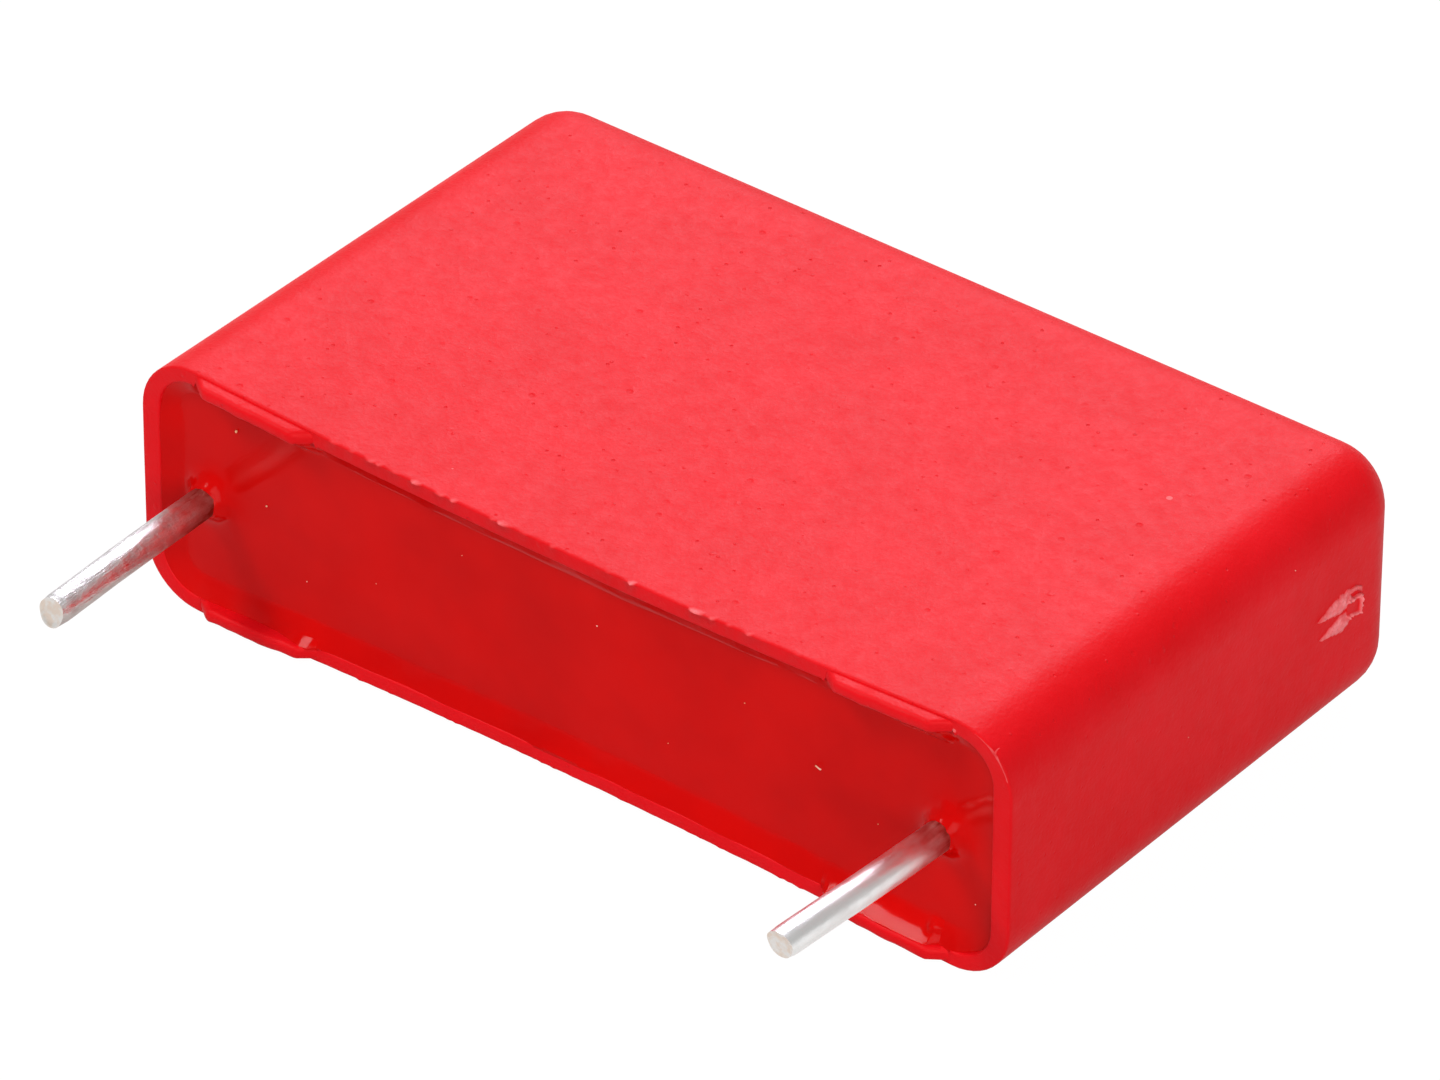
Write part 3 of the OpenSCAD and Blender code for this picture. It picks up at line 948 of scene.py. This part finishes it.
def seen_share(tree, camera, glossy):
    """A share of plain white that only the camera and mirror rays see."""
    path = new_node(tree, "ShaderNodeLightPath")
    mirror = maths(tree, "ADD", path.outputs["Is Glossy Ray"], path.outputs["Is Transmission Ray"])
    part = maths(tree, "MULTIPLY", mirror, glossy)
    seen = maths(tree, "MULTIPLY", path.outputs["Is Camera Ray"], camera)
    return maths(tree, "MAXIMUM", part, seen)


def make_studio():
    scene = bpy.context.scene
    scene.view_settings.view_transform = "Standard"

    world = bpy.data.worlds.new("studio")
    scene.world = world
    world.use_nodes = True
    tree = world.node_tree
    back = tree.nodes["Background"]
    back.inputs["Color"].default_value = (1, 1, 1, 1)
    share = seen_share(tree, 1.0, 0.25)
    tree.links.new(ramp(tree, share, 0.0, 1.0, WORLD_LEVEL, 1.0), back.inputs["Strength"])

    bm = bmesh.new()
    bmesh.ops.create_grid(bm, x_segments=1, y_segments=1, size=3)
    mesh = bpy.data.meshes.new("floor")
    bm.to_mesh(mesh)
    bm.free()
    floor = bpy.data.objects.new("floor", mesh)
    scene.collection.objects.link(floor)
    floor.location.z = CAD_BOX[0].z - 0.01 * MM
    paper = bpy.data.materials.new("pale floor")
    paper.use_nodes = True
    tree = paper.node_tree
    tree.nodes.clear()
    matt = new_node(tree, "ShaderNodeBsdfDiffuse", {"Color": (0.55, 0.55, 0.55, 1)})
    glow = new_node(tree, "ShaderNodeEmission", {"Color": (1, 1, 1, 1), "Strength": 1.06})
    mixed = new_node(tree, "ShaderNodeMixShader", {0: seen_share(tree, 0.93, 0.55)})
    tree.links.new(matt.outputs[0], mixed.inputs[1])
    tree.links.new(glow.outputs[0], mixed.inputs[2])
    out = new_node(tree, "ShaderNodeOutputMaterial")
    tree.links.new(mixed.outputs[0], out.inputs["Surface"])
    mesh.materials.append(paper)

    add_lamp("key softbox", (-0.45, -0.38, 0.80), 0.81, 3.0, 18.8)
    add_lamp("back softbox", (-0.41, 0.68, 0.60), 1.0, 2.0, 8.2, (0.97, 0.95, 1.1))
    add_lamp("front fill", (0.66, -0.60, 0.43), 0.90, 1.2, 3.5)


def make_camera():
    scene = bpy.context.scene
    data = bpy.data.cameras.new("camera")
    data.sensor_width = 36
    data.lens = 286.74
    data.clip_start, data.clip_end = 0.01, 20
    camera = bpy.data.objects.new("camera", data)
    scene.collection.objects.link(camera)
    across = Vector((0.7852542, 0.6191604, 0.0040370))
    up = Vector((-0.3557556, 0.4458339, 0.8213830))
    back = across.cross(up)
    turn = Matrix((across, up, back)).transposed().to_4x4()
    camera.matrix_world = Matrix.Translation(Vector((140.29, -177.865, 161.85)) * MM) @ turn
    scene.camera = camera


# ---------------------------------------------------------------- put together

grain, specks = grain_group(), specks_group()
plastic = red_plastic("red moulded plastic", grain, specks, 0.5, 0.012 * MM)
torn = red_plastic("torn red plastic", grain, specks, 0.42, 0.008 * MM)
resin_finish = resin_gloss(specks)
bright_tin = tinned("tinned wire", (0.9, 0.9, 0.88), (1.0, 1.0, 0.98), 0.0, 0.006 * MM)
# The left wire's finish carries painted shade in brown on its underside, and browns towards the resin.
brown_shaded_tin = tinned("tinned wire with painted shade", (0.6, 0.57, 0.55), (0.95, 0.93, 0.91), 0.6, 0.03 * MM)
cut_end = cut_metal()

make_case(plastic)
roots = [(root, radius) for root, _, radius, _ in wire_axes().values()]
make_resin(resin_finish, roots)
make_wire("lead_left", "left_wire", (brown_shaded_tin, cut_end), 0.03, 0.25)
make_wire("lead_right", "right_wire", (bright_tin, cut_end), -0.02, -0.2)
make_gate_scar(torn)
make_burr(torn)
make_dust(dust_finish())

for node, finish in (
    ("potting", resin_finish), ("winding", film_finish()),
    ("end_contact_left", spray_finish()), ("end_contact_right", spray_finish()),
):
    slots = frame["nodes"][node].data.materials
    if len(slots):
        slots[0] = finish
    else:
        slots.append(finish)

make_studio()
make_camera()
